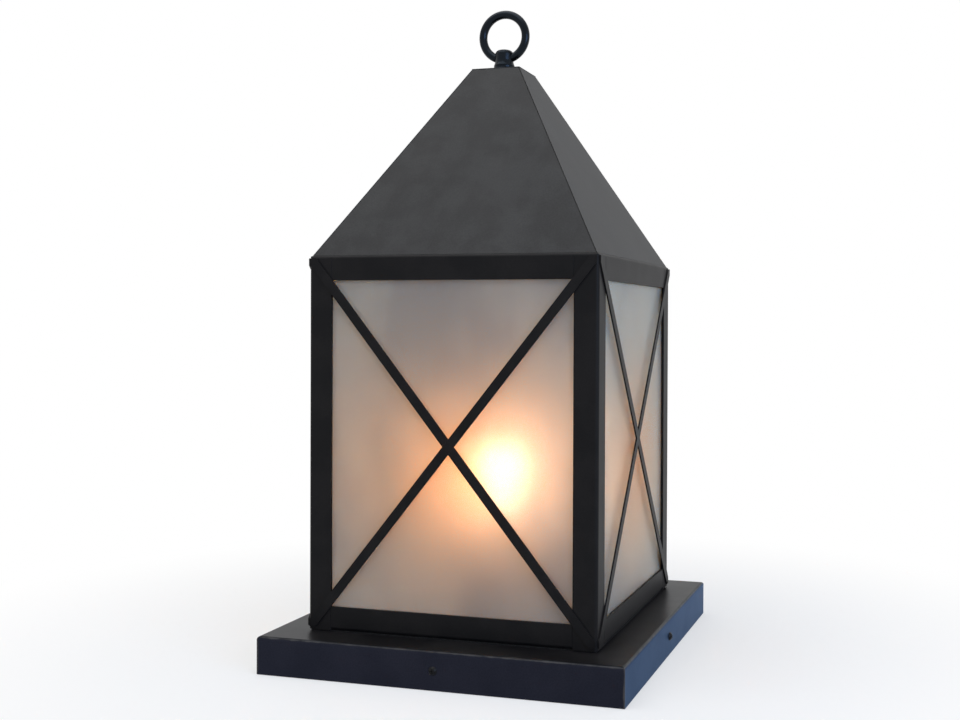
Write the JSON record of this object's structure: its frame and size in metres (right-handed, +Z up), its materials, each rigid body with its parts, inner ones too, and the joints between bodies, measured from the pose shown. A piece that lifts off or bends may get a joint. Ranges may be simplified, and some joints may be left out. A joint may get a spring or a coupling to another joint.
{
  "type": "outdoor post light",
  "caption": "Square outdoor pier lantern with a hipped roof, ring finial, crossed bars over frosted panes, a lit bulb and a folded square base.",
  "frame": {"origin": "centre of the base's underside, on the pier's top", "axes": "+Z up, -Y towards the front face, +X to the front's right"},
  "size_m": [0.3866, 0.3866, 0.6984],
  "materials": {
    "frame_bronze": "dark bronze paint, satin, with a faint blue-grey sheen",
    "roof_bronze": "dark bronze paint, satin, faintly mottled",
    "finial_bronze": "dark bronze paint, semi-gloss",
    "black_screws": "black, semi-gloss",
    "frosted_glass": "white translucent, clouded, gloss outside",
    "lamp_glass": "frosted, lit warm white",
    "rubber": "closed-cell strip, dull black",
    "galvanised_plate": "galvanised",
    "zinc_hardware": "zinc plated",
    "green_screw": "green, semi-gloss",
    "brass": "rolled brass",
    "porcelain": "white glaze"
  },
  "bodies": {
    "lantern": {"mounting_plate": "galvanised_plate", "ground_screw": "green_screw", "base_pan": "frame_bronze", "base_side_screws": "black_screws", "body_gasket": "rubber", "corner_post_front_left": "frame_bronze", "corner_post_front_right": "frame_bronze", "corner_post_back_right": "frame_bronze", "corner_post_back_left": "frame_bronze", "bottom_rail_front": "frame_bronze", "bottom_rail_right": "frame_bronze", "bottom_rail_back": "frame_bronze", "bottom_rail_left": "frame_bronze", "top_rail_front": "frame_bronze", "top_rail_right": "frame_bronze", "top_rail_back": "frame_bronze", "top_rail_left": "frame_bronze", "frame_screws": "zinc_hardware", "frame_nuts": "zinc_hardware", "rising_brace_front": "frame_bronze", "rising_brace_right": "frame_bronze", "rising_brace_back": "frame_bronze", "rising_brace_left": "frame_bronze", "falling_brace_front": "frame_bronze", "falling_brace_right": "frame_bronze", "falling_brace_back": "frame_bronze", "falling_brace_left": "frame_bronze", "glass_front": "frosted_glass", "glass_right": "frosted_glass", "glass_back": "frosted_glass", "glass_left": "frosted_glass", "glass_clips": "zinc_hardware", "roof_panel_front": "roof_bronze", "roof_panel_right": "roof_bronze", "roof_panel_back": "roof_bronze", "roof_panel_left": "roof_bronze", "roof_top_plate": "roof_bronze", "roof_crossbar": "zinc_hardware", "crossbar_screws": "zinc_hardware", "roof_rod": "zinc_hardware", "rod_nuts": "zinc_hardware", "lamp_bracket": "zinc_hardware", "bracket_screws": "zinc_hardware", "bracket_nuts": "zinc_hardware", "lamp_nipple": "zinc_hardware", "nipple_nuts": "zinc_hardware", "socket_body": "porcelain", "socket_shell": "brass", "socket_contact": "brass", "socket_terminals": "brass", "bulb": "lamp_glass"},
    "finial_seat": {"finial_seat": "finial_bronze"},
    "ring_finial": {"ring_finial": "finial_bronze"}
  },
  "joints": [
    {"name": "finial_lift", "type": "slide", "parent": "lantern", "child": "finial_seat", "axis": [0, 0, 1], "range_m": [0, 0.00381]},
    {"name": "finial_turn", "type": "hinge", "parent": "finial_seat", "child": "ring_finial", "pos_m": [0, 0, 0.636], "axis": [0, 0, 1], "range_deg": [0, 1080]}
  ],
  "couplings": [
    {"joint": "finial_turn", "follows": "finial_lift", "rad_per_m": 4947.4}
  ]
}
